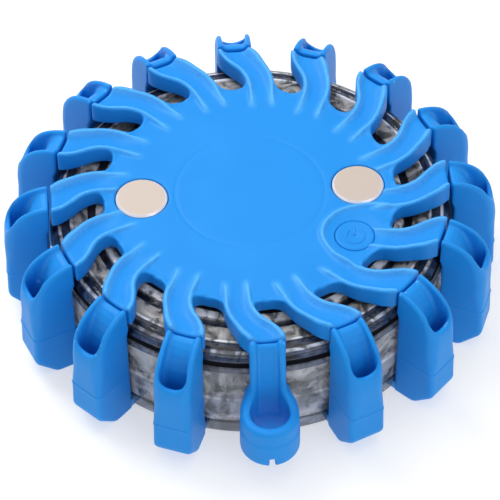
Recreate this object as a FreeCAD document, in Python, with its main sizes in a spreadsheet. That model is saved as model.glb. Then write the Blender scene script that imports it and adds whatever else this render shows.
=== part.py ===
"""LED safety flare: a puck-shaped rechargeable road flare in a slotted rubber cage.

Frame: millimetres, +Z up, origin on the flare's axis at the plane of its feet.
The hanging eye points along -Y and the two charging contacts lie on the X axis.
Sixteen posts stand around the lenses, numbered anticlockwise from the hanging eye.
"""
import FreeCAD, Part

import math
import os
import re

import Sketcher

Vector = FreeCAD.Vector

# ---------------------------------------------------------------- driving dimensions (mm)
DIMENSIONS = {
    # heights above the feet
    "overall_height": 36.0,
    "cover_top": 33.6,
    "cover_underside": 30.2,
    "parting_height": 13.4,
    "cage_floor_top": 2.6,
    # plan sizes
    "post_count": 16,
    "outer_radius": 62.4,
    "post_step": 0.4,
    "post_inner_radius": 50.6,
    "seam_radius": 49.8,
    "post_width": 9.4,
    "lower_post_width": 9.8,
    "foot_chamfer": 5.0,
    "hub_radius": 36.6,
    "seat_radius": 33.0,
    # swirl of a cover spoke: two arcs between two straight runs
    "spoke_width": 8.0,
    "channel_width": 4.0,
    "channel_depth": 1.3,
    "spoke_offset": 5.8,
    "bend_start": 36.5,
    "inner_bend": 12.6,
    "outer_bend": 6.8,
    "ridge_start": 31.0,
    "ridge_full": 47.0,
    # hanging eye
    "eye_centre": 58.2,
    "eye_radius": 7.3,
    "eye_hole_radius": 4.7,
    "eye_bottom": 6.6,
    "eye_top": 18.3,
    "strap_width": 8.6,
    "strap_channel": 5.2,
    # lenses
    "lens_radius": 50.2,
    "lens_wall": 2.0,
    "lens_floor_top": 4.6,
    "lens_skirt_bottom": 0.5,
    "band_top": 12.8,
    "gasket_bottom": 24.8,
    "gasket_top": 26.6,
    "lens_top": 29.2,
    "pillar_radius": 3.2,
    "pillar_circle": 36.5,
    # charging contacts
    "contact_circle": 27.05,
    "contact_radius": 6.45,
    "contact_thickness": 1.7,
    "contact_stem": 2.0,
    "contact_stem_bottom": 23.6,
    # power button
    "button_x": 24.5,
    "button_y": -16.9,
    "button_radius": 4.85,
    "button_gap": 0.25,
    "button_stem": 1.6,
    "button_stem_bottom": 19.95,
    "button_travel": 0.6,
    # light engine
    "board_radius": 46.8,
    "board_bottom": 12.4,
    "board_thickness": 1.6,
    "led_circle": 41.6,
    "led_height": 18.2,
    "carrier_thickness": 1.6,
    "carrier_flange": 32.2,
    "reflector_inner": 42.8,
    "reflector_outer": 47.4,
    "reflector_top": 22.3,
    "boss_circle": 34.0,
    # battery and magnet
    "battery_length": 50.0,
    "battery_width": 34.0,
    "battery_height": 6.0,
    "magnet_radius": 12.0,
    "magnet_thickness": 2.2,
    "magnet_floor": 0.8,
    "screw_radius": 1.25,
    "screw_head": 2.3,
}

doc = FreeCAD.newDocument("led_safety_flare")
sheet = doc.addObject("Spreadsheet::Sheet", "Dims")
for row, (alias, number) in enumerate(DIMENSIONS.items(), start=1):
    sheet.set(f"A{row}", alias)
    sheet.set(f"B{row}", str(number))
    sheet.setAlias(f"B{row}", alias)
doc.recompute()

nodes = []


def dim(alias):
    """A driving dimension, read from the sheet."""
    return float(getattr(sheet, alias))


def bound(formula):
    """The formula with each dimension's alias written as a reference to the sheet."""
    return re.sub(r"[a-z][a-z_]+", r"Dims.\g<0>", formula)


def worked_out(formula):
    """The value of a formula of sheet aliases."""
    result = sheet.evalExpression(bound(formula))
    return float(getattr(result, "Value", result))


# ---------------------------------------------------------------- building blocks
def new_body(name):
    body = doc.addObject("PartDesign::Body", name)
    body.Label = name
    nodes.append(body)
    return body


def origin_feature(body, role):
    return next(item for item in body.Origin.OriginFeatures if item.Role == role)


def new_sketch(body, name, role, height="0"):
    """An empty sketch on one of the body's origin planes, lifted along the plane's normal."""
    sketch = body.newObject("Sketcher::SketchObject", name)
    sketch.AttachmentSupport = [(origin_feature(body, role), "")]
    sketch.MapMode = "FlatFace"
    sketch.setExpression("AttachmentOffset.Base.z", bound(height))
    return sketch


def add_outline(sketch, outline):
    """A closed polygon whose every corner is bound to formulas of the sheet's aliases."""
    corners = [(worked_out(across), worked_out(along)) for across, along in outline]
    first = sketch.GeometryCount
    total = len(corners)
    for index, corner in enumerate(corners):
        following = corners[(index + 1) % total]
        sketch.addGeometry(Part.LineSegment(Vector(*corner, 0), Vector(*following, 0)), False)
    for index in range(total):
        following = (index + 1) % total
        sketch.addConstraint(Sketcher.Constraint("Coincident", first + index, 2, first + following, 1))
    for index, (across, along) in enumerate(outline):
        for kind, formula, value in (
            ("DistanceX", across, corners[index][0]),
            ("DistanceY", along, corners[index][1]),
        ):
            held = sketch.addConstraint(Sketcher.Constraint(kind, -1, 1, first + index, 1, value))
            sketch.setExpression(f"Constraints[{held}]", bound(formula))


def add_circle(sketch, across, along, radius):
    """A circle whose centre and radius are bound to formulas."""
    centre = Vector(worked_out(across), worked_out(along), 0)
    circle = sketch.addGeometry(Part.Circle(centre, Vector(0, 0, 1), worked_out(radius)), False)
    for kind, formula, value in (("DistanceX", across, centre.x), ("DistanceY", along, centre.y)):
        held = sketch.addConstraint(Sketcher.Constraint(kind, -1, 1, circle, 3, value))
        sketch.setExpression(f"Constraints[{held}]", bound(formula))
    held = sketch.addConstraint(Sketcher.Constraint("Radius", circle, worked_out(radius)))
    sketch.setExpression(f"Constraints[{held}]", bound(radius))


def rectangle(left, right, bottom, top):
    return [(left, bottom), (right, bottom), (right, top), (left, top)]


def revolve(body, name, outline, cut=False):
    """A full turn of a profile drawn in (radius, height) about the body's Z axis."""
    sketch = new_sketch(body, name + "_profile", "XZ_Plane")
    add_outline(sketch, outline)
    feature = body.newObject("PartDesign::Groove" if cut else "PartDesign::Revolution", name)
    feature.Profile = sketch
    feature.ReferenceAxis = (sketch, ["V_Axis"])
    feature.Angle = 360.0
    return feature


def pad(body, name, sketch, length, symmetric=False):
    feature = body.newObject("PartDesign::Pad", name)
    feature.Profile = sketch
    feature.setExpression("Length", bound(length))
    if symmetric:
        feature.SideType = "Symmetric"
    return feature


def pocket(body, name, sketch, depth, symmetric=False, upward=False):
    """A cut from the sketch down into the body, or up when upward is set."""
    doc.recompute()
    before = body.Shape.Volume
    feature = body.newObject("PartDesign::Pocket", name)
    feature.Profile = sketch
    feature.setExpression("Length", bound(depth))
    if symmetric:
        feature.SideType = "Symmetric"
    feature.Reversed = upward
    doc.recompute()
    if body.Shape.Volume >= before - 1e-3:
        raise RuntimeError(f"{name} cut nothing")
    return feature


def round_holes(body, name, centres, radius, base, depth, upward=True):
    """Equal round holes, each centre a pair of formulas, cut from the height base."""
    sketch = new_sketch(body, name + "_circles", "XY_Plane", base)
    for across, along in centres:
        add_circle(sketch, across, along, radius)
    return pocket(body, name, sketch, depth, upward=upward)


def around(body, name, originals, count="post_count"):
    """The named features repeated all round the Z axis."""
    pattern = body.newObject("PartDesign::PolarPattern", name)
    pattern.Originals = originals
    pattern.Axis = (origin_feature(body, "Z_Axis"), [""])
    pattern.Angle = 360.0
    pattern.setExpression("Occurrences", bound(count))
    body.Tip = pattern
    return pattern


def turned(name, outline, across="0", along="0"):
    """A piece turned about an upright axis through (across, along)."""
    body = new_body(name)
    revolve(body, name + "_turn", outline)
    body.setExpression("Placement.Base.x", bound(across))
    body.setExpression("Placement.Base.y", bound(along))
    return body


def block(name, length, width, height, across, along, bottom):
    """A rectangular piece centred on (across, along) and standing at the height bottom."""
    box = doc.addObject("Part::Box", name)
    box.Label = name
    for side, formula in (("Length", length), ("Width", width), ("Height", height)):
        box.setExpression(side, bound(formula))
    box.setExpression("Placement.Base.x", bound(f"{across} - ({length}) / 2"))
    box.setExpression("Placement.Base.y", bound(f"{along} - ({width}) / 2"))
    box.setExpression("Placement.Base.z", bound(bottom))
    nodes.append(box)
    return box


def group(name, solids):
    """Identical small pieces kept together as separate solids of one node."""
    feature = doc.addObject("Part::Feature", name)
    feature.Label = name
    feature.Shape = solids[0] if len(solids) == 1 else Part.makeCompound(solids)
    nodes.append(feature)
    return feature


def on_circle(radius, degrees):
    turn = math.radians(degrees)
    return radius * math.cos(turn), radius * math.sin(turn)


def cylinder(radius, bottom, top, across=0.0, along=0.0):
    return Part.makeCylinder(radius, top - bottom, Vector(across, along, bottom))


def tube(inner, outer, bottom, top, across=0.0, along=0.0):
    wall = cylinder(outer, bottom, top, across, along)
    return wall.cut(cylinder(inner, bottom - 1, top + 1, across, along))


def small_block(length, width, height, across, along, bottom):
    corner = Vector(across - length / 2, along - width / 2, bottom)
    return Part.makeBox(length, width, height, corner)


def swirl_wire(half_width, start, finish):
    """Closed outline of one swirled spoke that runs out along +Y, as lines and arcs."""
    offset = dim("spoke_offset")
    inner_bend = dim("inner_bend")
    outer_bend = dim("outer_bend")
    lean = math.acos(1 - offset / (inner_bend + outer_bend))
    first_centre = Vector(offset - inner_bend, dim("bend_start"), 0)
    reach = inner_bend + outer_bend
    second_centre = first_centre + Vector(reach * math.cos(lean), reach * math.sin(lean), 0)

    def side(sign):
        wide = inner_bend + sign * half_width
        tight = outer_bend - sign * half_width

        def on_first(turn):
            return first_centre + Vector(wide * math.cos(turn), wide * math.sin(turn), 0)

        def on_second(turn):
            return second_centre - Vector(tight * math.cos(turn), tight * math.sin(turn), 0)

        root = Vector(offset + sign * half_width, start, 0)
        end = Vector(sign * half_width, finish, 0)
        return [
            Part.LineSegment(root, on_first(0)),
            Part.Arc(on_first(0), on_first(lean / 2), on_first(lean)),
            Part.Arc(on_second(lean), on_second(lean / 2), on_second(0)),
            Part.LineSegment(on_second(0), end),
        ]

    right = side(1)
    left = side(-1)
    caps = [
        Part.LineSegment(left[0].StartPoint, right[0].StartPoint),
        Part.LineSegment(left[3].EndPoint, right[3].EndPoint),
    ]
    return right + left + caps


# ---------------------------------------------------------------- top cover
def contact_places():
    return [("contact_circle", "0"), ("-contact_circle", "0")]


def screw_places(circle, first_degrees, count=4):
    """Centres on a circle, as formulas, starting at first_degrees."""
    places = []
    for index in range(count):
        across, along = on_circle(1.0, first_degrees + 360.0 * index / count)
        places.append((f"({circle}) * {across:.6f}", f"({circle}) * {along:.6f}"))
    return places


BOARD_BOSS_DEGREES = (22.5, 157.5, 202.5, 337.5)


def board_boss_places():
    """Four bosses beside the battery, mirrored about both axes."""
    places = []
    for degrees in BOARD_BOSS_DEGREES:
        across, along = on_circle(1.0, degrees)
        places.append((f"boss_circle * {across:.6f}", f"boss_circle * {along:.6f}"))
    return places


BUTTON = [("button_x", "button_y")]
COVER_SCREW_CIRCLE = "seat_radius - 13"


def make_top_cover():
    body = new_body("top_cover")
    hub = [
        ("0", "lens_top"),
        ("seat_radius", "lens_top"),
        ("seat_radius", "cover_underside"),
        ("hub_radius", "cover_underside"),
        ("hub_radius", "cover_top"),
        ("0", "cover_top"),
    ]
    revolve(body, "cover_hub", hub)

    spoke_sketch = new_sketch(body, "cover_spoke_plan", "XY_Plane", "cover_underside")
    beyond = dim("seam_radius") + 2
    spoke_sketch.addGeometry(swirl_wire(dim("spoke_width") / 2, dim("ridge_start"), beyond), False)
    spoke = pad(body, "cover_spoke", spoke_sketch, "overall_height - cover_underside")

    channel_sketch = new_sketch(body, "cover_channel_plan", "XY_Plane", "overall_height")
    channel_start = dim("ridge_start") - 2
    channel_sketch.addGeometry(swirl_wire(dim("channel_width") / 2, channel_start, beyond + 1), False)
    channel = pocket(body, "cover_channel", channel_sketch, "channel_depth")
    around(body, "cover_spokes", [spoke, channel])

    trim = [
        ("ridge_start - 5", "cover_top"),
        ("ridge_start", "cover_top"),
        ("ridge_full", "overall_height"),
        ("seam_radius", "overall_height"),
        ("seam_radius", "lens_top"),
        ("outer_radius", "lens_top"),
        ("outer_radius", "overall_height + 2"),
        ("ridge_start - 5", "overall_height + 2"),
    ]
    revolve(body, "cover_trim", trim, cut=True)

    stem_hole = "contact_stem + 0.1"
    recess = "contact_radius + 0.2"
    recess_depth = "overall_height - cover_top + 1.5"
    contacts = contact_places()
    round_holes(body, "contact_recess", contacts, recess, "overall_height", recess_depth, upward=False)
    round_holes(body, "contact_hole", contacts, stem_hole, "lens_top - 1", "10")
    round_holes(body, "button_hole", BUTTON, "button_radius + button_gap", "lens_top - 1", "10")
    round_holes(body, "button_flange_room", BUTTON, "button_radius + 1.5", "lens_top - 1", "2.7")
    screws = screw_places(COVER_SCREW_CIRCLE, 45)
    round_holes(body, "cover_screw_hole", screws, "screw_radius", "lens_top - 1", "4.2")
    return body


# ---------------------------------------------------------------- cage
def make_cage():
    """Floor disc, sixteen floor spokes and posts in one moulding, with one hanging eye."""
    body = new_body("cage")
    floor = new_sketch(body, "floor_plan", "XY_Plane")
    add_circle(floor, "0", "0", "hub_radius - 0.6")
    pad(body, "floor_disc", floor, "cage_floor_top")

    lower = new_sketch(body, "lower_post_profile", "XZ_Plane")
    lower_outline = [
        ("hub_radius - 6", "0"),
        ("outer_radius - foot_chamfer", "0"),
        ("outer_radius", "foot_chamfer"),
        ("outer_radius", "parting_height"),
        ("post_inner_radius", "parting_height"),
        ("post_inner_radius", "cage_floor_top"),
        ("hub_radius - 6", "cage_floor_top"),
    ]
    add_outline(lower, lower_outline)
    lower_post = pad(body, "lower_post", lower, "lower_post_width", symmetric=True)

    inner = dim("post_inner_radius")
    face = dim("outer_radius") - dim("post_step")
    top = dim("overall_height")
    parting = dim("parting_height")
    crown_inner = Vector(inner, top, 0)
    crown_middle = Vector(face - 4.6, top - 4.2, 0)
    crown_outer = Vector(face, top - 13.6, 0)
    upper = new_sketch(body, "upper_post_profile", "XZ_Plane")
    upper_edges = [
        Part.LineSegment(Vector(inner, parting, 0), Vector(face, parting, 0)),
        Part.LineSegment(Vector(face, parting, 0), crown_outer),
        Part.Arc(crown_outer, crown_middle, crown_inner),
        Part.LineSegment(crown_inner, Vector(inner, parting, 0)),
    ]
    upper.addGeometry(upper_edges, False)
    upper_post = pad(body, "upper_post", upper, "post_width", symmetric=True)

    scoop = new_sketch(body, "scoop_profile", "XZ_Plane")
    scoop_start = Vector(inner - 1, top - 1.0, 0)
    scoop_deep = Vector(face - 4.6, top - 15.6, 0)
    scoop_front = Vector(face - 1.7, top - 15.6, 0)
    ceiling = top + 2
    scoop_edges = [
        Part.Arc(scoop_start, Vector(face - 7.2, top - 4.6, 0), scoop_deep),
        Part.LineSegment(scoop_deep, scoop_front),
        Part.LineSegment(scoop_front, Vector(scoop_front.x, ceiling, 0)),
        Part.LineSegment(Vector(scoop_front.x, ceiling, 0), Vector(scoop_start.x, ceiling, 0)),
        Part.LineSegment(Vector(scoop_start.x, ceiling, 0), scoop_start),
    ]
    scoop.addGeometry(scoop_edges, False)
    scoop_cut = pocket(body, "post_scoop", scoop, "post_width - 3", symmetric=True)
    around(body, "posts", [lower_post, upper_post, scoop_cut])
    doc.recompute()

    # the first post gives way to the hanging eye
    clearing = new_sketch(body, "eye_clearing_plan", "XY_Plane")
    clearing_outline = [
        ("-lower_post_width", "-post_inner_radius - 2.8"),
        ("lower_post_width", "-post_inner_radius - 2.8"),
        ("lower_post_width", "-outer_radius - 2"),
        ("-lower_post_width", "-outer_radius - 2"),
    ]
    add_outline(clearing, clearing_outline)
    pocket(body, "eye_clearing", clearing, "overall_height + 1", upward=True)

    strap = new_sketch(body, "strap_profile", "YZ_Plane")
    strap_back = -inner
    strap_front = -(inner + 2.8)
    eye_bottom = dim("eye_bottom")
    eye_top = dim("eye_top")
    strap_edges = [
        Part.LineSegment(Vector(strap_back, eye_bottom, 0), Vector(strap_back, top - 0.6, 0)),
        Part.Arc(
            Vector(strap_back, top - 0.6, 0),
            Vector(strap_front + 0.6, top - 3.4, 0),
            Vector(strap_front, top - 8.0, 0),
        ),
        Part.LineSegment(Vector(strap_front, top - 8.0, 0), Vector(strap_front, eye_bottom, 0)),
        Part.LineSegment(Vector(strap_front, eye_bottom, 0), Vector(strap_back, eye_bottom, 0)),
    ]
    strap.addGeometry(strap_edges, False)
    pad(body, "eye_strap", strap, "strap_width", symmetric=True)

    ring = new_sketch(body, "eye_ring_plan", "XY_Plane", "eye_bottom")
    add_circle(ring, "0", "-eye_centre", "eye_radius")
    pad(body, "eye_ring", ring, "eye_top - eye_bottom")

    web = new_sketch(body, "eye_web_plan", "XY_Plane", "eye_bottom")
    web_outline = [
        ("-eye_radius + 0.4", "-post_inner_radius"),
        ("eye_radius - 0.4", "-post_inner_radius"),
        ("eye_radius - 0.4", "-eye_centre"),
        ("-eye_radius + 0.4", "-eye_centre"),
    ]
    add_outline(web, web_outline)
    pad(body, "eye_web", web, "eye_top - eye_bottom")

    hole = new_sketch(body, "eye_hole_plan", "XY_Plane", "eye_bottom - 1")
    add_circle(hole, "0", "-eye_centre", "eye_hole_radius")
    pocket(body, "eye_hole", hole, "eye_top - eye_bottom + 2", upward=True)

    groove = new_sketch(body, "strap_channel_plan", "XY_Plane", "eye_top")
    groove_outline = [
        ("-strap_channel / 2", "-post_inner_radius - 1.6"),
        ("strap_channel / 2", "-post_inner_radius - 1.6"),
        ("strap_channel / 2", "-eye_centre"),
        ("-strap_channel / 2", "-eye_centre"),
    ]
    add_outline(groove, groove_outline)
    pocket(body, "strap_channel", groove, "overall_height - eye_top + 1", upward=True)

    magnet_room = "magnet_radius + 0.2"
    room_depth = "cage_floor_top - magnet_floor"
    middle = [("0", "0")]
    round_holes(body, "magnet_pocket", middle, magnet_room, "cage_floor_top", room_depth, upward=False)
    screws = screw_places("pillar_circle", 45)
    round_holes(body, "case_screw_hole", screws, "screw_radius + 0.2", "-1", "cage_floor_top + 2")
    round_holes(body, "case_screw_head_room", screws, "screw_head + 0.2", "-1", "2.4")
    return body


# ---------------------------------------------------------------- lenses and gasket
def make_lower_lens():
    body = new_body("lower_lens")
    inner = "lens_radius - lens_wall"
    outline = [
        ("0", "cage_floor_top"),
        ("lens_radius - 1.8", "cage_floor_top"),
        ("lens_radius - 1.8", "lens_skirt_bottom"),
        ("lens_radius", "lens_skirt_bottom"),
        ("lens_radius", "lens_skirt_bottom + 3.3"),
        ("lens_radius - 0.6", "lens_skirt_bottom + 3.5"),
        ("lens_radius - 0.6", "lens_skirt_bottom + 4.1"),
        ("lens_radius", "lens_skirt_bottom + 4.3"),
        ("lens_radius", "band_top"),
        ("lens_radius - 0.4", "band_top + 0.3"),
        ("lens_radius - 0.4", "gasket_bottom - 1.6"),
        ("lens_radius", "gasket_bottom - 1.2"),
        ("lens_radius", "gasket_bottom"),
        (inner, "gasket_bottom"),
        (inner, "lens_floor_top"),
        ("0", "lens_floor_top"),
    ]
    revolve(body, "lower_lens_shell", outline)
    notch = new_sketch(body, "skirt_notch_profile", "XZ_Plane")
    notch_outline = rectangle("lens_radius - 4", "lens_radius + 2", "-1", "cage_floor_top")
    add_outline(notch, notch_outline)
    notch_cut = pocket(body, "skirt_notch", notch, "lower_post_width + 0.6", symmetric=True)
    around(body, "skirt_notches", [notch_cut])
    doc.recompute()

    bosses = new_sketch(body, "board_boss_plan", "XY_Plane", "lens_floor_top - 0.5")
    for across, along in board_boss_places():
        add_circle(bosses, across, along, "3")
    pad(body, "board_bosses", bosses, "board_bottom - lens_floor_top + 0.5")
    pilot = "screw_radius - 0.2"
    round_holes(body, "board_pilot", board_boss_places(), pilot, "board_bottom", "6", upward=False)
    magnet_room = "magnet_radius + 0.2"
    round_holes(body, "magnet_room", [("0", "0")], magnet_room, "cage_floor_top - 1", "2.2")
    screws = screw_places("pillar_circle", 45)
    round_holes(body, "case_screw_way", screws, "screw_radius + 0.2", "cage_floor_top - 1", "4")
    return body


def make_upper_lens():
    """Clear dome with stepped rings on top, a rounded shoulder and a spigot into the lower lens."""
    body = new_body("upper_lens")
    outline = [
        ("0", "lens_top - 2"),
        ("lens_radius - 4.6", "lens_top - 2"),
        ("lens_radius - 4.0", "lens_top - 4"),
        ("lens_radius - 4.0", "gasket_bottom - 2"),
        ("lens_radius - lens_wall - 0.3", "gasket_bottom - 2"),
        ("lens_radius - lens_wall - 0.3", "gasket_top"),
        ("lens_radius - 0.5", "gasket_top"),
        ("lens_radius - 0.7", "gasket_top + 0.9"),
        ("lens_radius - 1.6", "gasket_top + 1.8"),
        ("lens_radius - 3.0", "lens_top - 0.3"),
        ("lens_radius - 4.4", "lens_top"),
        ("0", "lens_top"),
    ]
    revolve(body, "upper_lens_shell", outline)
    for index, inset in enumerate((4.6, 6.1, 7.6, 9.1, 10.6)):
        middle = f"lens_radius - {inset}"
        groove = [
            (f"{middle} - 0.6", "lens_top + 0.1"),
            (middle, "lens_top - 0.45"),
            (f"{middle} + 0.2", "lens_top + 0.1"),
        ]
        revolve(body, f"ring_step_{index + 1}", groove, cut=True)

    pillars = new_sketch(body, "case_pillar_plan", "XY_Plane", "lens_floor_top")
    for across, along in screw_places("pillar_circle", 45):
        add_circle(pillars, across, along, "pillar_radius")
    pad(body, "case_pillars", pillars, "lens_top - lens_floor_top - 1")
    screws = screw_places("pillar_circle", 45)
    round_holes(body, "case_screw_pilot", screws, "screw_radius", "lens_floor_top - 1", "11")

    stem_way = "contact_stem + 0.2"
    round_holes(body, "contact_way", contact_places(), stem_way, "lens_top - 4", "8")
    seal_room = "contact_stem + 1.8"
    round_holes(body, "contact_seal_room", contact_places(), seal_room, "lens_top", "1.2", upward=False)
    round_holes(body, "button_way", BUTTON, "button_stem + 0.3", "lens_top - 4", "8")
    round_holes(body, "button_seal_room", BUTTON, "button_stem + 1.7", "lens_top", "1.2", upward=False)
    screws = screw_places(COVER_SCREW_CIRCLE, 45)
    round_holes(body, "cover_screw_way", screws, "screw_radius + 0.2", "lens_top - 4", "8")
    return body


def make_seals():
    gasket = rectangle("lens_radius - lens_wall", "lens_radius - 0.4", "gasket_bottom", "gasket_top")
    turned("lens_gasket", gasket)

    rings = []
    top = dim("lens_top") - 0.1
    for sign in (-1, 1):
        across = sign * dim("contact_circle")
        stem = dim("contact_stem")
        rings.append(tube(stem + 0.05, stem + 1.7, top - 1.1, top, across))
    group("contact_seals", rings)
    stem = dim("button_stem")
    ring = tube(stem + 0.08, stem + 1.6, top - 1.1, top, dim("button_x"), dim("button_y"))
    group("button_seal", [ring])


# ---------------------------------------------------------------- charging contacts
def make_contacts():
    disc_bottom = "cover_top - 1.5"
    disc_top = f"{disc_bottom} + contact_thickness"
    outline = [
        ("0", "contact_stem_bottom"),
        ("contact_stem", "contact_stem_bottom"),
        ("contact_stem", disc_bottom),
        ("contact_radius", disc_bottom),
        ("contact_radius", f"{disc_top} - 0.45"),
        ("contact_radius - 0.45", disc_top),
        ("0", disc_top),
    ]
    turned("charge_contact_right", outline, "contact_circle")
    turned("charge_contact_left", outline, "-contact_circle")

    nuts = []
    springs = []
    pads = []
    board_top = dim("board_bottom") + dim("board_thickness")
    under_lens = dim("lens_top") - 2
    nut_height = 2.4
    nut_radius = 4.0
    for sign in (-1, 1):
        across = sign * dim("contact_circle")
        nut_centre = Vector(across, 0, under_lens - nut_height)
        corners = [nut_centre + Vector(*on_circle(nut_radius, 60 * turn), 0) for turn in range(7)]
        hexagon = Part.Face(Part.makePolygon(corners)).extrude(Vector(0, 0, nut_height))
        nuts.append(hexagon.cut(cylinder(dim("contact_stem") + 0.05, 20, 30, across)))
        pads.append(cylinder(3.4, board_top, board_top + 0.15, across))
        springs.append(coil_spring(2.3, 0.3, board_top + 0.2, dim("contact_stem_bottom") - 0.05, 5, across))
    group("contact_nuts", nuts)
    group("contact_springs", springs)
    group("contact_pads", pads)


def coil_spring(coil_radius, wire_radius, bottom, top, turns, across):
    """A round-wire compression spring standing on the X axis."""
    rise = top - bottom - 2 * wire_radius
    helix = Part.makeHelix(rise / turns, rise, coil_radius)
    start = Vector(coil_radius, 0, 0)
    section = Part.Wire(Part.makeCircle(wire_radius, start, Vector(0, 1, 0)))
    spring = Part.Wire(helix).makePipeShell([section], True, True)
    spring.translate(Vector(across, 0, bottom + wire_radius))
    return spring


# ---------------------------------------------------------------- power button and its switch
def make_button():
    cap_bottom = "lens_top + button_travel + 0.4"
    cap_top = "cover_top - 0.1"
    outline = [
        ("0", "button_stem_bottom"),
        ("button_stem", "button_stem_bottom"),
        ("button_stem", cap_bottom),
        ("button_radius + 1.1", cap_bottom),
        ("button_radius + 1.1", f"{cap_bottom} + 0.55"),
        ("button_radius", f"{cap_bottom} + 0.55"),
        ("button_radius", f"{cap_top} - 0.4"),
        ("button_radius - 0.4", cap_top),
        ("0", cap_top),
    ]
    turned("power_button", outline, "button_x", "button_y")

    across = dim("button_x")
    along = dim("button_y")
    board_top = dim("board_bottom") + dim("board_thickness")
    housing = small_block(6.2, 6.2, 3.6, across, along, board_top)
    group("tact_switch", [housing.cut(cylinder(1.85, board_top + 2.1, board_top + 5, across, along))])
    plunger_top = dim("button_stem_bottom") - 0.05
    group("switch_plunger", [cylinder(1.75, board_top + 3.0, plunger_top, across, along)])


# ---------------------------------------------------------------- light engine
def led_angles():
    """One light in each window, half a pitch away from the posts."""
    pitch = 360.0 / dim("post_count")
    return [-90 + pitch * (index + 0.5) for index in range(int(dim("post_count")))]


def make_light_engine():
    board = new_body("circuit_board")
    plan = new_sketch(board, "board_plan", "XY_Plane", "board_bottom")
    add_circle(plan, "0", "0", "board_radius")
    pad(board, "board_disc", plan, "board_thickness")
    pillars = screw_places("pillar_circle", 45)
    round_holes(board, "pillar_holes", pillars, "pillar_radius + 0.3", "board_bottom - 1", "5")
    screw_way = "screw_radius + 0.1"
    round_holes(board, "board_screw_holes", board_boss_places(), screw_way, "board_bottom - 1", "5")

    board_top = dim("board_bottom") + dim("board_thickness")
    led_circle = dim("led_circle")
    group("led_carrier_ring", [led_carrier(board_top)])

    middle = dim("led_height")
    packages = []
    cells = []
    for degrees in led_angles():
        housing = Part.makeBox(1.0, 3.6, 3.0, Vector(led_circle, -1.8, middle - 1.5))
        emitter = cylinder(1.2, 0, 0.5).rotated(Vector(), Vector(0, 1, 0), 90)
        emitter = emitter.translated(Vector(led_circle + 0.9, 0, middle))
        package = housing.fuse(emitter)
        packages.append(package.rotated(Vector(), Vector(0, 0, 1), degrees))
        cells.append(reflector_cell(middle).rotated(Vector(), Vector(0, 0, 1), degrees))
    group("edge_leds", packages)

    ring = tube(dim("reflector_inner"), dim("reflector_outer"), board_top, dim("reflector_top"))
    group("reflector_ring", [ring.cut(cells)])


def led_carrier(board_top):
    """White ring the lights are fixed to, with a flange on top that clears the case pillars."""
    outer = dim("led_circle")
    flange_bottom = dim("reflector_top") - 0.1
    wall = tube(outer - dim("carrier_thickness"), outer, board_top, flange_bottom)
    flange = tube(dim("carrier_flange"), outer, flange_bottom, flange_bottom + 0.8)
    clearance = dim("pillar_radius") + 0.15
    centres = [on_circle(dim("pillar_circle"), 45 + 90 * index) for index in range(4)]
    holes = [cylinder(clearance, flange_bottom - 1, flange_bottom + 2, *centre) for centre in centres]
    return wall.fuse(flange.cut(holes)).removeSplitter()


def reflector_cell(middle):
    """The flared opening in front of one light, narrow at the light and wide at the lens."""
    def frame_wire(radius, half_width, half_height):
        corners = [(-1, -1), (1, -1), (1, 1), (-1, 1), (-1, -1)]
        points = [Vector(radius, half_width * wide, middle + half_height * high) for wide, high in corners]
        return Part.makePolygon(points)

    near = frame_wire(dim("reflector_inner") - 0.8, 2.1, 1.9)
    far = frame_wire(dim("reflector_outer") + 0.6, 7.2, 3.75)
    return Part.makeLoft([near, far], True)


def make_board_parts():
    board_top = "board_bottom + board_thickness"
    block("charge_controller_chip", "5", "4", "1", "-12", "13", board_top)
    block("microcontroller_chip", "6", "6", "1", "0", "-13", board_top)
    turned("driver_inductor", rectangle("0", "3.6", board_top, f"{board_top} + 3.2"), "10", "14")
    top = worked_out(board_top)
    places = [(-20, 16), (-20, 12), (-6, 18), (4, 18), (18, 8), (-8, -20), (8, -20), (-18, -14), (-22, -9)]
    group("chip_capacitors", [small_block(2.0, 1.25, 1.0, across, along, top) for across, along in places])


# ---------------------------------------------------------------- battery, magnet and fasteners
def make_battery():
    floor = "lens_floor_top"
    block("battery_cell", "battery_length", "battery_width", "battery_height", "0", "0", f"{floor} + 0.3")
    length = dim("battery_length")
    width = dim("battery_width")
    bottom = dim("lens_floor_top")
    tray = small_block(length + 3.6, width + 3.6, 4.0, 0, 0, bottom)
    tray = tray.cut(small_block(length + 0.6, width + 0.6, 5.0, 0, 0, bottom + 0.3))
    group("battery_tray", [tray])
    pad_bottom = f"{floor} + 0.3 + battery_height"
    pad_height = "board_bottom - lens_floor_top - 0.3 - battery_height"
    block("foam_pad", "battery_length - 10", "battery_width - 8", pad_height, "0", "0", pad_bottom)

    lead_height = bottom + 5.2
    leads = []
    for across in (-1.2, 1.2):
        start = Vector(across, width / 2, lead_height)
        leads.append(Part.makeCylinder(0.6, 4.6, start, Vector(0, 1, 0)))
    group("battery_leads", leads)
    plug_centre = width / 2 + 4.6 + 1.7
    group("battery_plug", [small_block(5.0, 3.4, 3.2, 0, plug_centre, lead_height - 1.6)])
    socket_back = plug_centre + 1.7 + 1.8
    socket_bottom = lead_height - 1.9
    socket_height = dim("board_bottom") - socket_bottom
    group("battery_socket", [small_block(6.0, 3.6, socket_height, 0, socket_back, socket_bottom)])


def make_magnet():
    top = "magnet_floor + magnet_thickness"
    turned("base_magnet", rectangle("0", "magnet_radius", "magnet_floor", top))
    turned("magnet_back_plate", rectangle("0", "magnet_radius", top, f"{top} + 0.8"))


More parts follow.
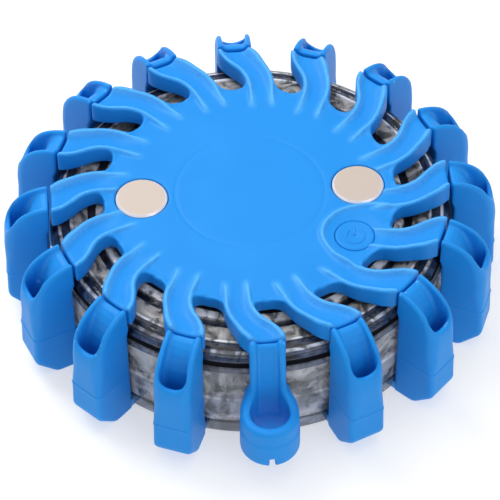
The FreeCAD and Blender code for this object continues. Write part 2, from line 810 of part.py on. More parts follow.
def screw(across, along, tip, shoulder, head_top, shank_radius, head_radius):
    """A pan-head screw that points from its shoulder to its tip, up or down."""
    low, high = sorted((tip, shoulder))
    shank = cylinder(shank_radius, low, high, across, along)
    low, high = sorted((shoulder, head_top))
    head = cylinder(head_radius, low, high, across, along)
    drive_low = head_top - 0.7 if head_top > tip else head_top
    arms = [
        small_block(2.4, 0.5, 0.7, across, along, drive_low),
        small_block(0.5, 2.4, 0.7, across, along, drive_low),
    ]
    return shank.fuse(head).cut(arms)


def make_fasteners():
    shank = dim("screw_radius") - 0.05
    head = dim("screw_head")
    pillar_circle = dim("pillar_circle")
    cover_circle = worked_out(COVER_SCREW_CIRCLE)
    quarter = [45 + 90 * index for index in range(4)]
    case = [on_circle(pillar_circle, degrees) for degrees in quarter]
    group("case_screws", [screw(*place, 14.0, 1.4, 0.2, shank, head) for place in case])
    under_lens = dim("lens_top") - 2
    cover = [on_circle(cover_circle, degrees) for degrees in quarter]
    tip = under_lens + 5
    head_end = under_lens - 1.5
    group("cover_screws", [screw(*place, tip, under_lens, head_end, shank, head) for place in cover])
    board_top = dim("board_bottom") + dim("board_thickness")
    board = [on_circle(dim("boss_circle"), degrees) for degrees in BOARD_BOSS_DEGREES]
    board_shank = shank - 0.2
    tip = board_top - 6
    head_end = board_top + 1.4
    group("board_screws", [screw(*place, tip, board_top, head_end, board_shank, 2.0) for place in board])


def write_parts():
    doc.recompute()
    for item in doc.Objects:
        troubles = [state for state in item.State if state in ("Invalid", "Error")]
        if troubles:
            raise RuntimeError(f"{item.Name} is {troubles}")
    os.makedirs("parts", exist_ok=True)
    for node in nodes:
        shape = node.Shape
        if shape.isNull() or not shape.isValid() or not shape.Solids:
            raise RuntimeError(f"{node.Label} has no valid solid")
        shape.exportStep(os.path.join("parts", node.Label + ".step"))
        print(f"{node.Label}: {len(shape.Solids)} solids, {shape.Volume:.1f} mm3")


make_top_cover()
make_cage()
make_lower_lens()
make_upper_lens()
make_seals()
make_contacts()
make_button()
make_light_engine()
make_board_parts()
make_battery()
make_magnet()
make_fasteners()
write_parts()
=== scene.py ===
"""LED safety flare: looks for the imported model.

Lengths of the object are millimetres here and are scaled to the scene's metres when a mesh is made.
Bump distances, lights and the floor are in metres. +Z is up, the flare's axis is the Z axis and the
hanging eye points along -Y.
"""

import math

import bpy
import numpy as np
from mathutils import Matrix, Vector


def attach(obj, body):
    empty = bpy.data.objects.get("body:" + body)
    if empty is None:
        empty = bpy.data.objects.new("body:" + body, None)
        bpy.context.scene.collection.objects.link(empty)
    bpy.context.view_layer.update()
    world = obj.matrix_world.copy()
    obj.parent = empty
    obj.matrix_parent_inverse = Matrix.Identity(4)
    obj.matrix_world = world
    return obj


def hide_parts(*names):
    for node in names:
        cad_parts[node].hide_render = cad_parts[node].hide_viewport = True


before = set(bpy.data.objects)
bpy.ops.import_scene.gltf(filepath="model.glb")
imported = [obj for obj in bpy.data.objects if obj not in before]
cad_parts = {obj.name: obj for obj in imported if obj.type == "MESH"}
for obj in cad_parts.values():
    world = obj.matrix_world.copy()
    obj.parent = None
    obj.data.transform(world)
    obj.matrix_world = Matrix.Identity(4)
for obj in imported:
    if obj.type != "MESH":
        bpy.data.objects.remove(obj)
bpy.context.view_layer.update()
MM = 0.001
TAU = 2 * math.pi

# ---------------------------------------------------------------- sizes, in millimetres
POSTS = 16
PITCH = TAU / POSTS
HUB_TOP = 33.6
RIM_TOP = 36.0
HUB_RADIUS = 36.5
COVER_UNDER = 30.2
COVER_END = 49.6
LENS_TOP = 29.2
PARTING = 13.4  # height of the mould line round the posts
POST_INNER = 50.95
POST_TOP_INNER = 50.2
EYE_CENTRE = 58.2
BUTTON = (24.45, -16.85)
CONTACT_CIRCLE = 27.05
SCREW_CIRCLE = 36.5
SCREW_ANGLES = [TAU / 8 + quarter * TAU / 4 for quarter in range(4)]


# ---------------------------------------------------------------- small tools
def spoke_angle(k):
    """Direction of post or spoke k, anticlockwise from the hanging eye, which is number 0."""
    return -TAU / 4 + PITCH * k


def smooth(low, high, value):
    """0 below low, 1 above high and an S curve between."""
    share = np.clip((value - low) / (high - low), 0.0, 1.0)
    return share * share * (3 - 2 * share)


def round_union(first, second, radius):
    """Distance to two shapes joined with a hollow fillet."""
    a = np.maximum(radius - first, 0.0)
    b = np.maximum(radius - second, 0.0)
    return np.maximum(radius, np.minimum(first, second)) - np.sqrt(a * a + b * b)


def round_overlap(first, second, radius):
    """Distance to what two shapes share, with the edge between them rounded."""
    a = np.maximum(radius + first, 0.0)
    b = np.maximum(radius + second, 0.0)
    return np.minimum(-radius, np.maximum(first, second)) + np.sqrt(a * a + b * b)


def edge_gap(start, end, across, along):
    """Squared distance to the straight edge from start to end."""
    ex, ey = end[0] - start[0], end[1] - start[1]
    wx, wy = across - start[0], along - start[1]
    share = np.clip((wx * ex + wy * ey) / (ex * ex + ey * ey), 0, 1)
    return (wx - ex * share) ** 2 + (wy - ey * share) ** 2


def outline_distance(points, across, along):
    """Signed distance to a closed polygon, negative inside."""
    best = np.full(across.shape, np.inf)
    sign = np.ones(across.shape)
    for start, end in zip(points, points[1:] + points[:1]):
        best = np.minimum(best, edge_gap(start, end, across, along))
        above = along >= start[1]
        below_next = along < end[1]
        left = (end[0] - start[0]) * (along - start[1]) > (end[1] - start[1]) * (across - start[0])
        flip = (above & below_next & left) | (~above & ~below_next & ~left)
        sign = np.where(flip, -sign, sign)
    return sign * np.sqrt(best)


def extruded(points, half, edge, x, y, z):
    """Distance to an (outward, up) outline that runs from -half to half across, edges rounded."""
    outline = outline_distance(points, y[0] + 0 * z[0], z[0] + 0 * y[0])[None]
    outline = np.broadcast_to(outline, x.shape[:1] + outline.shape[1:])
    return round_overlap(outline, np.abs(x) - half, edge)


def line_distance(points, across, along):
    """Distance to an open line through the points."""
    best = np.full(across.shape, np.inf)
    for start, end in zip(points, points[1:]):
        best = np.minimum(best, edge_gap(start, end, across, along))
    return np.sqrt(best)


def rounded_line(points, rounds=3):
    """The points with their corners cut smooth, ends kept."""
    pts = np.asarray(points, float)
    for _ in range(rounds):
        near = 0.75 * pts[:-1] + 0.25 * pts[1:]
        far = 0.25 * pts[:-1] + 0.75 * pts[1:]
        inner = np.empty((2 * len(near), 2))
        inner[0::2] = near
        inner[1::2] = far
        pts = np.vstack([pts[:1], inner[1:-1], pts[-1:]])
    return pts


def stacked(*stretches):
    """Grid heights made of (start, end, step) stretches."""
    return np.concatenate([np.arange(*stretch) for stretch in stretches])


def surface_net(field, xs, ys, zs, settle=3):
    """Vertices and quads of the field's zero surface on a grid of boxes.

    Each box that the surface crosses gets one vertex, at the mean of the places where the box's
    edges are cut, and each cut edge gets a quad between the four boxes round it. The vertices then
    settle on the surface.
    """
    inside = field < 0
    nx, ny, nz = field.shape
    cells = (nx - 1, ny - 1, nz - 1)
    total = np.zeros(cells + (3,))
    count = np.zeros(cells)
    axes = (np.asarray(xs), np.asarray(ys), np.asarray(zs))
    for axis in range(3):
        low = [slice(None)] * 3
        high = [slice(None)] * 3
        low[axis] = slice(0, -1)
        high[axis] = slice(1, None)
        a, b = field[tuple(low)], field[tuple(high)]
        cut = inside[tuple(low)] != inside[tuple(high)]
        share = np.where(cut, a / np.where(cut, a - b, 1.0), 0.0)
        others = [i for i in range(3) if i != axis]
        place = [None, None, None]
        for i in range(3):
            shape = [1, 1, 1]
            if i == axis:
                start, end = axes[i][:-1], axes[i][1:]
                shape[i] = len(start)
                place[i] = start.reshape(shape) + (end - start).reshape(shape) * share
            else:
                shape[i] = len(axes[i])
                place[i] = np.broadcast_to(axes[i].reshape(shape), share.shape)
        for u in (0, 1):
            for v in (0, 1):
                source = [slice(None)] * 3
                source[others[0]] = slice(u, u + cells[others[0]])
                source[others[1]] = slice(v, v + cells[others[1]])
                source = tuple(source)
                hit = cut[source]
                count += hit
                for i in range(3):
                    total[..., i] += np.where(hit, place[i][source], 0.0)
    used = count > 0
    number = np.full(cells, -1)
    number[used] = np.arange(int(used.sum()))
    verts = total[used] / count[used][:, None]

    quads = []
    for axis in range(3):
        u, v = [i for i in range(3) if i != axis]
        low = [slice(1, -1)] * 3
        high = [slice(1, -1)] * 3
        low[axis] = slice(0, -1)
        high[axis] = slice(1, None)
        a, b = inside[tuple(low)], inside[tuple(high)]
        crossing = np.argwhere(a != b)
        base = crossing.copy()
        base[:, u] += 1
        base[:, v] += 1
        ring = []
        for du, dv in ((-1, -1), (0, -1), (0, 0), (-1, 0)):
            corner = base.copy()
            corner[:, u] += du
            corner[:, v] += dv
            ring.append(number[tuple(corner.T)])
        face = np.stack(ring, axis=1)
        outward = a[tuple(crossing.T)]
        if axis == 1:
            outward = ~outward
        face[~outward] = face[~outward][:, ::-1]
        quads.append(face)
    quads = np.vstack(quads)
    for _ in range(settle):
        verts = settle_on(field, axes, verts)
    return verts, quads


LEAST_SLOPE = 0.15
LONGEST_MOVE = 0.2


def settle_on(field, axes, verts):
    """Moves vertices along the field's slope onto its zero surface."""
    steps = []
    for axis in range(3):
        grid = axes[axis]
        where = np.clip(np.searchsorted(grid, verts[:, axis], side="right") - 1, 0, len(grid) - 2)
        gap = grid[where + 1] - grid[where]
        share = (verts[:, axis] - grid[where]) / gap
        steps.append((where, np.clip(share, 0, 1), gap))
    (ix, fx, gx), (iy, fy, gy), (iz, fz, gz) = steps
    corner = {}
    for a in (0, 1):
        for b in (0, 1):
            for c in (0, 1):
                corner[a, b, c] = field[ix + a, iy + b, iz + c]

    def blend(weights_x, weights_y, weights_z):
        value = 0.0
        for (a, b, c), number in corner.items():
            value = value + number * weights_x[a] * weights_y[b] * weights_z[c]
        return value

    wx, wy, wz = (1 - fx, fx), (1 - fy, fy), (1 - fz, fz)
    one = np.ones_like(fx)
    value = blend(wx, wy, wz)
    slope = np.stack(
        [
            blend((-one / gx, one / gx), wy, wz),
            blend(wx, (-one / gy, one / gy), wz),
            blend(wx, wy, (-one / gz, one / gz)),
        ],
        axis=1,
    )
    size = np.maximum((slope**2).sum(axis=1), LEAST_SLOPE)
    move = slope * (value / size)[:, None]
    length = np.linalg.norm(move, axis=1)
    move *= np.minimum(1.0, LONGEST_MOVE / np.maximum(length, 1e-9))[:, None]
    return verts - move


def build(name, parts, shade=True):
    """One mesh object from (vertices in millimetres, faces) parts."""
    mesh = bpy.data.meshes.new(name)
    verts = []
    faces = []
    shift = 0
    for part_verts, part_faces in parts:
        verts.append(np.asarray(part_verts, float))
        faces.extend([[int(i) + shift for i in face] for face in part_faces])
        shift += len(part_verts)
    mesh.from_pydata((np.vstack(verts) * MM).tolist(), [], faces)
    mesh.update()
    mesh.validate()
    obj = bpy.data.objects.new(name, mesh)
    bpy.context.scene.collection.objects.link(obj)
    if shade:
        mesh.shade_smooth()
    return obj


def ring_of(profile, turns):
    """A closed (radius, height) outline turned about the axis in that many steps."""
    pts = np.asarray(profile, float)
    angles = TAU * np.arange(turns) / turns
    n = len(pts)
    verts = np.zeros((turns, n, 3))
    verts[:, :, 0] = pts[None, :, 0] * np.cos(angles)[:, None]
    verts[:, :, 1] = pts[None, :, 0] * np.sin(angles)[:, None]
    verts[:, :, 2] = pts[None, :, 1]
    faces = []
    for i in range(turns):
        j = (i + 1) % turns
        for k in range(n):
            m = (k + 1) % n
            faces.append((i * n + k, j * n + k, j * n + m, i * n + m))
    return verts.reshape(-1, 3), faces


def softened(profile, radius, steps):
    """The closed outline with each corner rounded by at most radius."""
    pts = [Vector(p) for p in profile]
    out = []
    for i, here in enumerate(pts):
        before = pts[i - 1] - here
        after = pts[(i + 1) % len(pts)] - here
        cut = min(radius, before.length * 0.45, after.length * 0.45)
        a = here + before.normalized() * cut
        b = here + after.normalized() * cut
        for step in range(steps + 1):
            t = step / steps
            out.append(tuple((1 - t) ** 2 * a + 2 * t * (1 - t) * here + t * t * b))
    return out


def keep_creases(obj, degrees):
    """Smooth shading that stays crisp where faces meet at more than the angle."""
    obj.data.set_sharp_from_angle(angle=math.radians(degrees))


# ---------------------------------------------------------------- materials
def new_material(name):
    material = bpy.data.materials.new(name)
    material.use_nodes = True
    tree = material.node_tree
    return material, tree, tree.nodes["Principled BSDF"]


def noise(tree, scale, detail, stretch=(1, 1, 1)):
    """Noise fixed to the object, as a node."""
    where = tree.nodes.new("ShaderNodeTexCoord")
    mapping = tree.nodes.new("ShaderNodeMapping")
    mapping.inputs["Scale"].default_value = stretch
    tree.links.new(where.outputs["Object"], mapping.inputs["Vector"])
    node = tree.nodes.new("ShaderNodeTexNoise")
    node.inputs["Scale"].default_value = scale
    node.inputs["Detail"].default_value = detail
    tree.links.new(mapping.outputs["Vector"], node.inputs["Vector"])
    return node


def ramp(tree, source, stops):
    """A Color Ramp node on the source, with (place, colour) stops."""
    node = tree.nodes.new("ShaderNodeValToRGB")
    band = node.color_ramp
    while len(band.elements) < len(stops):
        band.elements.new(0.5)
    for element, (place, colour) in zip(band.elements, stops):
        element.position = place
        element.color = (*colour, 1.0)
    tree.links.new(source, node.inputs["Fac"])
    return node


def map_range(tree, source, start=0.0, end=1.0, low=0.0, high=1.0):
    """A Map Range node that takes the source's stretch from start to end to low and high."""
    node = tree.nodes.new("ShaderNodeMapRange")
    for socket, value in (("From Min", start), ("From Max", end), ("To Min", low), ("To Max", high)):
        node.inputs[socket].default_value = value
    tree.links.new(source, node.inputs["Value"])
    return node


def colour_sockets(node):
    """The colour inputs A and B of a Mix node and its colour result."""
    inputs = [socket for socket in node.inputs if socket.identifier in ("A_Color", "B_Color")]
    result = next(socket for socket in node.outputs if socket.identifier == "Result_Color")
    return inputs[0], inputs[1], result


def bump(tree, shader, source, strength, distance):
    """Bumps the shader by the source; the distance is in metres."""
    node = tree.nodes.new("ShaderNodeBump")
    node.inputs["Strength"].default_value = strength
    node.inputs["Distance"].default_value = distance
    tree.links.new(source, node.inputs["Height"])
    tree.links.new(node.outputs["Normal"], shader.inputs["Normal"])


def finish_of(
    name, low, high, rough, grain=900.0, depth=0.00002, mottle=60.0, metal=0.0, coat=0.0, spec=0.5
):
    """A procedural finish: two close colours mottled together, uneven gloss and a fine grain."""
    material, tree, shader = new_material(name)
    shader.inputs["Metallic"].default_value = metal
    shader.inputs["Coat Weight"].default_value = coat
    shader.inputs["Specular IOR Level"].default_value = spec
    patches = noise(tree, mottle, 4.0)
    colours = ramp(tree, patches.outputs["Fac"], [(0.3, low), (0.7, high)])
    tree.links.new(colours.outputs["Color"], shader.inputs["Base Color"])
    gloss = map_range(tree, patches.outputs["Fac"], low=rough - 0.04, high=rough + 0.05)
    tree.links.new(gloss.outputs["Result"], shader.inputs["Roughness"])
    fine = noise(tree, grain, 2.0)
    bump(tree, shader, fine.outputs["Fac"], 0.25, depth)
    return material


def paint_crest_highlight(material, colour, attribute, low, high):
    """Paints a highlight along the moulding's crests: its colour turns towards the paler one there.

    The crests come from the named mesh attribute, or from the mesh's convex edges where the name is
    None. The colour changes over the stretch from low to high.
    """
    tree = material.node_tree
    shader = tree.nodes["Principled BSDF"]
    before = shader.inputs["Base Color"].links[0].from_socket
    if attribute:
        form = tree.nodes.new("ShaderNodeAttribute")
        form.attribute_name = attribute
        source = form.outputs["Fac"]
    else:
        form = tree.nodes.new("ShaderNodeNewGeometry")
        source = form.outputs["Pointiness"]
    edge = map_range(tree, source, low, high)
    # painted highlight: the paler colour is mixed in along the crests
    paler = tree.nodes.new("ShaderNodeMix")
    paler.data_type = "RGBA"
    plain, pale, result = colour_sockets(paler)
    pale.default_value = (*colour, 1.0)
    tree.links.new(edge.outputs["Result"], paler.inputs["Factor"])
    tree.links.new(before, plain)
    tree.links.new(result, shader.inputs["Base Color"])


CHAMFER_RADIUS = 5.95
CONTACT_FACE = (0.53, 0.45, 0.395)
# colour of the chamfer, a painted highlight
CHAMFER_HIGHLIGHT = (0.80, 0.80, 0.82)


def contact_finish():
    """Pale satin metal. The chamfer that rings each contact is glossier, and its paler colour is a painted
    highlight.

    Both contacts share it: the distance is measured from the contact on the +X side, with X made
    positive first.
    """
    material, tree, shader = new_material("contact_disc")
    where = tree.nodes.new("ShaderNodeTexCoord")
    split = tree.nodes.new("ShaderNodeSeparateXYZ")
    tree.links.new(where.outputs["Object"], split.inputs["Vector"])
    side = tree.nodes.new("ShaderNodeMath")
    side.operation = "ABSOLUTE"
    tree.links.new(split.outputs["X"], side.inputs[0])
    flat = tree.nodes.new("ShaderNodeCombineXYZ")
    tree.links.new(side.outputs["Value"], flat.inputs["X"])
    tree.links.new(split.outputs["Y"], flat.inputs["Y"])
    away = tree.nodes.new("ShaderNodeVectorMath")
    away.operation = "DISTANCE"
    away.inputs[1].default_value = (CONTACT_CIRCLE * MM, 0.0, 0.0)
    tree.links.new(flat.outputs["Vector"], away.inputs[0])
    rim = map_range(tree, away.outputs["Value"], (CHAMFER_RADIUS - 0.1) * MM, (CHAMFER_RADIUS + 0.1) * MM)
    # face colour inside, the chamfer's painted highlight outside
    colours = ramp(tree, rim.outputs["Result"], [(0.2, CONTACT_FACE), (0.8, CHAMFER_HIGHLIGHT)])
    tree.links.new(colours.outputs["Color"], shader.inputs["Base Color"])
    gloss = map_range(tree, rim.outputs["Result"], low=0.48, high=0.30)
    tree.links.new(gloss.outputs["Result"], shader.inputs["Roughness"])
    shader.inputs["Metallic"].default_value = 0.25
    fine = noise(tree, 700.0, 2.0)
    bump(tree, shader, fine.outputs["Fac"], 0.2, 0.00002)
    return material


def measured(tree, across, low, high):
    """0 to 1 from low to high millimetres: of the radius if across, or else of the height."""
    where = tree.nodes.new("ShaderNodeTexCoord")
    split = tree.nodes.new("ShaderNodeSeparateXYZ")
    tree.links.new(where.outputs["Object"], split.inputs["Vector"])
    source = split.outputs["Z"]
    if across:
        flat = tree.nodes.new("ShaderNodeCombineXYZ")
        tree.links.new(split.outputs["X"], flat.inputs["X"])
        tree.links.new(split.outputs["Y"], flat.inputs["Y"])
        length = tree.nodes.new("ShaderNodeVectorMath")
        length.operation = "LENGTH"
        tree.links.new(flat.outputs["Vector"], length.inputs[0])
        source = length.outputs["Value"]
    return map_range(tree, source, low * MM, high * MM).outputs["Result"]


def clear_of(name, across, low, zones, facets, dark):
    """Clear moulded plastic with painted sheen: its rings and bands are painted reflections, highlights and
    shade that stand in for the light the real lens reflects and lets through.

    Each zone is (where it ends in millimetres, colour of its sheen, how much the sheen hides), and the
    first starts at low. facets is the scale of the cut-glass noise, which bumps the surface and paints
    glints, and dark the deepest tone of those painted glints.
    """
    material, tree, shader = new_material(name)
    high = zones[-1][0]
    place = measured(tree, across, low, high)
    tones = []
    covers = []
    start = low
    for end, colour, hides in zones:
        for edge in (start + ZONE_BLEND, end - ZONE_BLEND):
            tones.append(((edge - low) / (high - low), colour))
            covers.append(((edge - low) / (high - low), (hides, hides, hides)))
        start = end
    # painted sheen and shade, ring by ring or band by band
    sheen = ramp(tree, place, tones)
    cover = ramp(tree, place, covers)
    crystal = noise(tree, facets, 7.0, (1, 1, 0.8))
    crystal.inputs["Distortion"].default_value = 1.2
    # painted glints: the noise darkens the sheen between its bright facets
    glints = ramp(tree, crystal.outputs["Fac"], [(0.40, (dark, dark, dark)), (0.58, (1.0, 1.0, 1.0))])
    tinted = tree.nodes.new("ShaderNodeMix")
    tinted.data_type = "RGBA"
    tinted.blend_type = "MULTIPLY"
    tinted.inputs["Factor"].default_value = 1.0
    first, second, result = colour_sockets(tinted)
    tree.links.new(sheen.outputs["Color"], first)
    tree.links.new(glints.outputs["Color"], second)
    tree.links.new(result, shader.inputs["Base Color"])
    shader.inputs["Roughness"].default_value = 0.06
    shader.inputs["IOR"].default_value = 1.58
    bump(tree, shader, crystal.outputs["Fac"], 0.7, 0.0004)
    through = tree.nodes.new("ShaderNodeBsdfTransparent")
    through.inputs["Color"].default_value = (0.95, 0.96, 0.98, 1.0)
    rim = tree.nodes.new("ShaderNodeLayerWeight")
    rim.inputs["Blend"].default_value = 0.28
    amount = map_range(tree, rim.outputs["Facing"], high=0.85)
    tree.links.new(cover.outputs["Color"], amount.inputs["To Min"])
    mix = tree.nodes.new("ShaderNodeMixShader")
    tree.links.new(amount.outputs["Result"], mix.inputs["Fac"])
    tree.links.new(through.outputs["BSDF"], mix.inputs[1])
    tree.links.new(shader.outputs["BSDF"], mix.inputs[2])
    tree.links.new(mix.outputs["Shader"], tree.nodes["Material Output"].inputs["Surface"])
    return material


ZONE_BLEND = 0.12  # millimetres on each side of a zone's edge
DOME_START = 30.0
# painted sheen of the dome by radius: the pale rings are painted reflections and highlights, the dark ones
# painted shade, as under the hub's edge
DOME_SHEEN_AND_SHADE = [
    (36.6, (0.05, 0.05, 0.06), 0.50),
    (38.8, (0.90, 0.88, 0.85), 0.88),
    (40.8, (0.03, 0.03, 0.05), 0.70),
    (44.6, (0.62, 0.59, 0.54), 0.55),
    (45.4, (0.95, 0.96, 0.98), 0.85),
    (47.7, (0.03, 0.04, 0.08), 0.65),
    (48.4, (0.85, 0.90, 1.00), 0.75),
    (50.4, (0.06, 0.10, 0.20), 0.62),
]
# painted sheen of the cup by height: its pale and dark bands are painted reflection and shade
CUP_SHEEN_AND_SHADE = [
    (3.8, (0.26, 0.31, 0.42), 0.55),
    (4.6, (0.02, 0.03, 0.05), 0.80),
    (12.6, (0.74, 0.76, 0.82), 0.36),
    (13.2, (0.92, 0.93, 0.96), 0.75),
    (22.9, (0.98, 0.96, 0.91), 0.26),
    (25.0, (0.08, 0.11, 0.18), 0.60),
]
MOULDED = ((0.009, 0.246, 0.710), (0.013, 0.264, 0.745), 0.45)
# colour of the painted highlight on the crests of the blue mouldings
CREST_HIGHLIGHT_BLUE = (0.085, 0.410, 0.870)

BLUE = finish_of("blue_moulding", *MOULDED, depth=0.00003, spec=0.18)
# painted highlight along the convex edges of the blue mouldings
paint_crest_highlight(BLUE, CREST_HIGHLIGHT_BLUE, None, 0.51, 0.60)
BLUE_COVER = finish_of("blue_cover", *MOULDED, depth=0.00003, spec=0.18)
# painted highlight along the cover's ridge crests and the button loop's bead
paint_crest_highlight(BLUE_COVER, CREST_HIGHLIGHT_BLUE, "crest", 0.0, 1.0)
BLUE_CAP = finish_of("blue_cap", (0.009, 0.242, 0.700), (0.013, 0.258, 0.735), 0.48, spec=0.18)
SEAL = finish_of("black_seal", (0.003, 0.003, 0.004), (0.006, 0.006, 0.007), 0.8, spec=0.08)
CONTACT = contact_finish()
STEEL = finish_of("plated_steel", (0.50, 0.51, 0.53), (0.62, 0.63, 0.65), 0.30, metal=1.0)
GOLD = finish_of("gold_plate", (0.72, 0.50, 0.18), (0.82, 0.60, 0.26), 0.25, metal=1.0)
MIRROR = finish_of("plated_reflector", (0.74, 0.73, 0.71), (0.90, 0.89, 0.87), 0.16, mottle=240, metal=0.9)
BOARD = finish_of("green_board", (0.012, 0.10, 0.052), (0.020, 0.16, 0.085), 0.35, mottle=220.0, coat=0.4)
WHITE_CARRIER = finish_of("white_flex", (0.62, 0.63, 0.62), (0.74, 0.74, 0.72), 0.5)
LED = finish_of("led_lens", (0.88, 0.88, 0.80), (0.95, 0.95, 0.90), 0.18, coat=0.5)
CHIP = finish_of("black_epoxy", (0.012, 0.012, 0.013), (0.028, 0.028, 0.030), 0.5)
TAN = finish_of("ceramic_tan", (0.30, 0.19, 0.10), (0.42, 0.28, 0.16), 0.45)
FOIL = finish_of("cell_foil", (0.55, 0.56, 0.58), (0.68, 0.69, 0.71), 0.32, metal=0.9)
WHITE = finish_of("white_plastic", (0.66, 0.66, 0.64), (0.76, 0.76, 0.74), 0.45)
FOAM = finish_of("grey_foam", (0.03, 0.03, 0.032), (0.06, 0.06, 0.064), 0.9, grain=300.0, depth=0.0002)
RED = finish_of("red_lead", (0.42, 0.012, 0.010), (0.52, 0.020, 0.014), 0.4)
CLEAR = clear_of("clear_lens", True, DOME_START, DOME_SHEEN_AND_SHADE, 240.0, 0.14)
CLEAR_LOWER = clear_of("clear_cup", False, 0.0, CUP_SHEEN_AND_SHADE, 190.0, 0.22)

NODE_LOOKS = {
    "charge_contact_left": CONTACT,
    "charge_contact_right": CONTACT,
    "contact_nuts": STEEL,
    "contact_springs": GOLD,
    "contact_pads": GOLD,
    "contact_seals": SEAL,
    "button_seal": SEAL,
    "lens_gasket": SEAL,
    "tact_switch": CHIP,
    "switch_plunger": TAN,
    "circuit_board": BOARD,
    "led_carrier_ring": WHITE_CARRIER,
    "edge_leds": LED,
    "reflector_ring": MIRROR,
    "charge_controller_chip": CHIP,
    "microcontroller_chip": CHIP,
    "driver_inductor": CHIP,
    "chip_capacitors": TAN,
    "battery_cell": FOIL,
    "battery_tray": WHITE,
    "foam_pad": FOAM,
    "battery_leads": RED,
    "battery_plug": WHITE,
    "battery_socket": WHITE,
    "base_magnet": STEEL,
    "magnet_back_plate": STEEL,
    "case_screws": STEEL,
    "cover_screws": STEEL,
    "board_screws": STEEL,
    "top_cover": BLUE,
    "cage": BLUE,
    "power_button": BLUE_CAP,
    "upper_lens": CLEAR,
    "lower_lens": CLEAR_LOWER,
}


def paint(obj, material):
    obj.data.materials.append(material)


# the CAD nodes keep their meshes and get their looks on the object
for node_name, look in NODE_LOOKS.items():
    node_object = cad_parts[node_name]
    if not node_object.material_slots:
        node_object.data.materials.append(look)
    for held in node_object.material_slots:
        held.link = "OBJECT"
        held.material = look


# ---------------------------------------------------------------- top cover
# A spoke runs straight and parallel to its radius, bends one way, bends back and ends straight.
SPOKE_OFFSET = 5.75
BEND_START = 36.5
FIRST_BEND = 12.5
SECOND_BEND = 6.8
LEAN = math.radians(46.4)
FIRST_CENTRE = (SPOKE_OFFSET - FIRST_BEND, BEND_START)
SECOND_CENTRE = (
    FIRST_CENTRE[0] + (FIRST_BEND + SECOND_BEND) * math.cos(LEAN),
    FIRST_CENTRE[1] + (FIRST_BEND + SECOND_BEND) * math.sin(LEAN),
)
END_OFFSET = SECOND_CENTRE[0] - SECOND_BEND
SPOKE_START = 28.0
SPOKE_EDGE = 1.0  # from a ridge's crest out to the side of its spoke
RIDGE_START = 28.6
RIDGE_FULL = 31.6
RIDGE_STEP = 0.6  # height that the ridges gain at their start
RISE_START = 31.0
RISE_LENGTH = 17.5
CHANNEL_DEPTH = 0.95
CHANNEL_FULL = 39.0
CHANNEL_POWER = 4.2
RIDGE_FALL = 1.2
CREST_HALF = 0.7


def swirl_offset(across, along):
    """Signed distance from a spoke's swirled centre line, across and along its own radius."""
    first = np.hypot(across - FIRST_CENTRE[0], along - FIRST_CENTRE[1]) - FIRST_BEND
    second = SECOND_BEND - np.hypot(across - SECOND_CENTRE[0], along - SECOND_CENTRE[1])
    reach_x = SECOND_CENTRE[0] - FIRST_CENTRE[0]
    reach_y = SECOND_CENTRE[1] - FIRST_CENTRE[1]
    past = reach_x * (along - FIRST_CENTRE[1]) - reach_y * (across - FIRST_CENTRE[0]) > 0
    offset = np.where(past, second, first)
    offset = np.where(along < BEND_START, across - SPOKE_OFFSET, offset)
    return np.where(along > SECOND_CENTRE[1], across - END_OFFSET, offset)


def ridge_spacing(along):
    """Half the distance between a spoke's two ridges."""
    return 2.6 + 0.85 * smooth(43.5, 49.0, along)


def cover_plan(x, y):
    """Plan distance to the cover's outline, the height of its top, and 0 to 1 along its crests."""
    radius = np.hypot(x, y)
    spokes = np.full(x.shape, 1e9)
    height = np.full(x.shape, HUB_TOP)
    sag = np.zeros(x.shape)
    crest = np.zeros(x.shape)
    nearest = np.round((np.arctan2(y, x) + TAU / 4) / PITCH)
    for step in (-1, 0, 1):
        angle = spoke_angle(nearest + step)
        along = x * np.cos(angle) + y * np.sin(angle)
        across = x * np.sin(angle) - y * np.cos(angle)
        offset = np.abs(swirl_offset(across, along))
        half = ridge_spacing(along)
        width = half + SPOKE_EDGE
        plan = np.maximum(np.maximum(offset - width, along - COVER_END), SPOKE_START - along)
        spokes = np.minimum(spokes, plan)
        start = smooth(RIDGE_START, RIDGE_FULL, along)
        rise = np.clip((along - RISE_START) / RISE_LENGTH, 0, 1)
        top = HUB_TOP + RIDGE_STEP * start + (RIM_TOP - HUB_TOP - RIDGE_STEP) * rise
        dip = RIDGE_STEP * start + CHANNEL_DEPTH * smooth(RISE_START, CHANNEL_FULL, along)
        inner = top - dip * (1 - np.clip(offset / half, 0, 1) ** CHANNEL_POWER)
        fall = 0.5 * (1 + np.cos(math.pi * np.clip((offset - half) / RIDGE_FALL, 0, 1)))
        hubness = 1 - smooth(35.0, 38.5, radius)
        outer = HUB_TOP + (top - HUB_TOP) * (fall * hubness + (1 - hubness))
        profile = np.where(offset < half, inner, outer)
        near = (offset < width + 2.5) & (along > SPOKE_START - 1.0)
        height = np.where(near & (profile > height), profile, height)
        sag = np.where(near & (offset < half), np.minimum(sag, inner - HUB_TOP), sag)
        crest = np.maximum(crest, np.exp(-(((offset - half) / CREST_HALF) ** 2)) * start * near)
    height = np.where(sag < 0, HUB_TOP + sag, height)
    plan = round_union(radius - HUB_RADIUS, spokes, 2.3)
    return plan, height, crest


BUTTON_LOOP = rounded_line(
    [
        (33.9, -7.9), (30.4, -7.2), (26.5, -7.4), (21.4, -8.5), (18.0, -11.4), (16.2, -15.4),
        (17.0, -19.6), (20.0, -24.7), (24.6, -28.2), (28.6, -29.7), (33.5, -30.4),
    ]
)
HUB_LINE = 18.7
BEAD_HALF = 0.62
EDGE_ROUND = 0.65
CONTACT_POCKET = 6.72
CONTACT_FLOOR = 32.1
CONTACT_STEM = 2.1
BUTTON_BORE = 4.93
FLANGE_BORE = 6.35
FLANGE_ROOF = 30.9
COVER_STEP = 0.36


